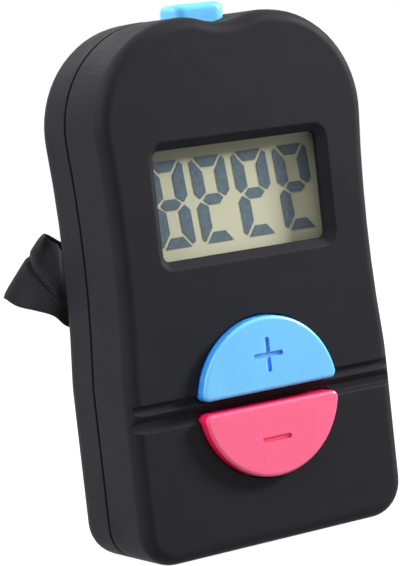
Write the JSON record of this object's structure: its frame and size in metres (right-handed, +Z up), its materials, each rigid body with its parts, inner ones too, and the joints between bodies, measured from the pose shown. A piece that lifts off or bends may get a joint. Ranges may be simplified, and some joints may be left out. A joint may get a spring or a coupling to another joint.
{
  "type": "digital hand tally counter",
  "caption": "Hand-held digital tally counter with a waisted two-shell case, a liquid crystal window, half-round plus and minus keys, a power key and a webbing hand strap.",
  "frame": {"origin": "middle of the flat foot that the counter stands on, half way between its front and back face", "axes": "+Z up the counter towards the power key, display and keys face -Y, +X on the right as the display is read"},
  "size_m": [0.0446, 0.0285, 0.0692],
  "materials": {
    "case_plastic": "fine matt moulded plastic",
    "blue_plastic": "satin moulded plastic",
    "pink_plastic": "satin moulded plastic",
    "cyan_plastic": "satin moulded plastic",
    "foam": "closed-cell foam",
    "film": "clear polarising film",
    "display_glass": "clear thin glass",
    "segment_dye": "dark liquid crystal",
    "reflector_foil": "matt brushed foil",
    "inner_plastic": "black moulded plastic",
    "plunger_plastic": "grey moulded plastic",
    "contact_rubber": "layered silicone rubber",
    "board_laminate": "green solder mask",
    "black_resin": "black resin",
    "capacitor_ceramic": "tan ceramic",
    "bright_steel": "plain nickel-plated steel",
    "contact_brass": "thin spring sheet",
    "webbing": "black woven webbing"
  },
  "bodies": {
    "case": {"front_shell": "case_plastic", "rear_cover": "case_plastic", "lcd_gasket": "foam", "lcd_polariser": "film", "lcd_front_glass": "display_glass", "lcd_segments": "segment_dye", "lcd_rear_glass": "display_glass", "lcd_reflector": "reflector_foil", "lcd_holder": "inner_plastic", "zebra_strip": "contact_rubber", "circuit_board": "board_laminate", "controller_chip": "black_resin", "timing_crystal": "bright_steel", "chip_capacitors": "capacitor_ceramic", "chip_resistors": "black_resin", "plus_switch": "inner_plastic", "minus_switch": "inner_plastic", "power_switch": "inner_plastic", "coin_cell": "bright_steel", "positive_contact": "contact_brass", "negative_contact": "contact_brass", "board_screws": "bright_steel", "case_screws": "bright_steel", "strap_pins": "bright_steel", "hand_strap": "webbing"},
    "plus_key": {"plus_button": "blue_plastic", "plus_plunger": "plunger_plastic"},
    "minus_key": {"minus_button": "pink_plastic", "minus_plunger": "plunger_plastic"},
    "power_key": {"power_button": "cyan_plastic", "power_plunger": "plunger_plastic"},
    "lid": {"battery_lid": "case_plastic"}
  },
  "joints": [
    {"name": "plus_press", "type": "slide", "parent": "case", "child": "plus_key", "axis": [0, 1, 0], "range_m": [0, 0.0006], "stiffness_N_per_m": 900, "springref_m": -0.0006},
    {"name": "minus_press", "type": "slide", "parent": "case", "child": "minus_key", "axis": [0, 1, 0], "range_m": [0, 0.0006], "stiffness_N_per_m": 900, "springref_m": -0.0006},
    {"name": "power_press", "type": "slide", "parent": "case", "child": "power_key", "axis": [0, 0, -1], "range_m": [0, 0.0006], "stiffness_N_per_m": 900, "springref_m": -0.0006},
    {"name": "battery_lid_turn", "type": "hinge", "parent": "case", "child": "lid", "pos_m": [0, 0.00695, 0.0165], "axis": [0, 1, 0], "range_deg": [0, 50]}
  ]
}
